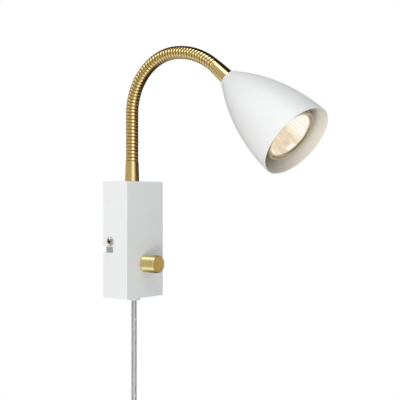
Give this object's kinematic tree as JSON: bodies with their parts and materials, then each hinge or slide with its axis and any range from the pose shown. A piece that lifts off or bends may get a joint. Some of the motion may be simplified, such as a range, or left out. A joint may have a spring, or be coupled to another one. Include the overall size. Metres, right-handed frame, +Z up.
{
  "type": "adjustable wall light",
  "caption": "Wall light with a dimmer knob on a slim wall box, a ribbed flexible neck, a bullet-shaped shade with a twist-lock reflector bulb, and a flat clear cord with a plug.",
  "frame": {"origin": "middle of the wall box's back, on the wall", "axes": "+Y into the wall, +X to the right of someone facing the light, +Z up"},
  "size_m": [0.0879, 0.2235, 0.5447],
  "materials": {
    "white_paint": "powder coat, satin white",
    "satin_brass": "satin, lacquered",
    "zinc": "zinc plated",
    "screw_steel": "nickel plated",
    "contact_brass": "plain",
    "ceramic_white": "unglazed",
    "reflector": "mirrored inside",
    "lens_glass": "faceted, lit",
    "burner_glass": "clear, lit",
    "black_plastic": "matte",
    "shaft": "turned",
    "board": "laminate",
    "copper_wire": "enamelled winding",
    "capacitor": "gloss",
    "white_plastic": "satin",
    "sleeve": "satin",
    "core": "gloss",
    "clear_cord": "clear, with the conductors showing",
    "plug_plastic": "gloss"
  },
  "bodies": {
    "wall_box": {"wall_bracket": "zinc", "cover_box": "white_paint", "cover_screws": "screw_steel", "lower_ferrule": "satin_brass", "neck_washer": "zinc", "neck_nut": "zinc", "dimmer_body": "black_plastic", "dimmer_washer": "zinc", "dimmer_nut": "zinc", "dimmer_board": "board", "dimmer_choke": "copper_wire", "dimmer_capacitor": "capacitor", "dimmer_triac": "black_plastic", "terminal_block": "white_plastic", "terminal_screws": "contact_brass", "box_leads": "core", "cord_bushing": "white_plastic", "bushing_nut": "white_plastic", "box_lead_sleeve": "sleeve", "mains_cord": "clear_cord", "cord_coil": "clear_cord", "coil_tie": "white_plastic", "plug_body": "plug_plastic", "plug_pins": "screw_steel"},
    "knob": {"knob": "satin_brass", "knob_grub_screw": "zinc", "dimmer_shaft": "shaft"},
    "link_1": {"neck_link_1": "satin_brass", "neck_lead_1": "sleeve"},
    "link_2": {"neck_link_2": "satin_brass", "neck_lead_2": "sleeve"},
    "link_3": {"neck_link_3": "satin_brass", "neck_lead_3": "sleeve"},
    "link_4": {"neck_link_4": "satin_brass", "neck_lead_4": "sleeve"},
    "link_5": {"neck_link_5": "satin_brass", "neck_lead_5": "sleeve"},
    "link_6": {"neck_link_6": "satin_brass", "neck_lead_6": "sleeve"},
    "link_7": {"neck_link_7": "satin_brass", "neck_lead_7": "sleeve"},
    "link_8": {"neck_link_8": "satin_brass", "neck_lead_8": "sleeve"},
    "head": {"upper_ferrule": "satin_brass", "head_lead_sleeve": "sleeve", "shade": "white_paint", "shade_washer": "zinc", "shade_nut": "zinc", "holder_strap": "zinc", "strap_nut": "zinc", "bulb_holder": "ceramic_white", "holder_contacts": "contact_brass", "holder_screws": "zinc", "head_leads": "core"},
    "bulb": {"bulb_base": "ceramic_white", "bulb_pins": "screw_steel", "bulb_reflector": "reflector", "bulb_lens": "lens_glass", "bulb_burner": "burner_glass"}
  },
  "joints": [
    {"name": "neck_bend_1", "type": "hinge", "parent": "wall_box", "child": "link_1", "pos_m": [0, -0.0138, 0.0746], "axis": [1, 0, 0], "range_deg": [-5, 10]},
    {"name": "neck_sway_2", "type": "hinge", "parent": "link_1", "child": "link_2", "pos_m": [0, -0.0138, 0.09716], "axis": [0, -1, 0], "range_deg": [-15, 15]},
    {"name": "neck_bend_3", "type": "hinge", "parent": "link_2", "child": "link_3", "pos_m": [0, -0.0138, 0.11973], "axis": [1, 0, 0], "range_deg": [-12, 10]},
    {"name": "neck_sway_4", "type": "hinge", "parent": "link_3", "child": "link_4", "pos_m": [0, -0.01805, 0.14172], "axis": [0, -0.9206, -0.3906], "range_deg": [-15, 15]},
    {"name": "neck_bend_5", "type": "hinge", "parent": "link_4", "child": "link_5", "pos_m": [0, -0.03092, 0.16005], "axis": [1, 0, 0], "range_deg": [-20, 10]},
    {"name": "neck_sway_6", "type": "hinge", "parent": "link_5", "child": "link_6", "pos_m": [0, -0.05016, 0.1715], "axis": [0, -0.3203, -0.9473], "range_deg": [-20, 20]},
    {"name": "neck_bend_7", "type": "hinge", "parent": "link_6", "child": "link_7", "pos_m": [0, -0.07241, 0.17415], "axis": [1, 0, 0], "range_deg": [-20, 10]},
    {"name": "neck_sway_8", "type": "hinge", "parent": "link_7", "child": "link_8", "pos_m": [0, -0.09438, 0.16938], "axis": [0, 0.3531, -0.9356], "range_deg": [-20, 20]},
    {"name": "neck_bend_9", "type": "hinge", "parent": "link_8", "child": "head", "pos_m": [0, -0.11403, 0.15844], "axis": [1, 0, 0], "range_deg": [-20, 15]},
    {"name": "knob_turn", "type": "hinge", "parent": "wall_box", "child": "knob", "pos_m": [0, -0.0312, -0.023], "axis": [0, -1, 0], "range_deg": [0, 270]},
    {"name": "bulb_twist", "type": "hinge", "parent": "head", "child": "bulb", "pos_m": [0, -0.16065, 0.11994], "axis": [0, -0.7705, -0.6374], "range_deg": [0, 45]}
  ]
}
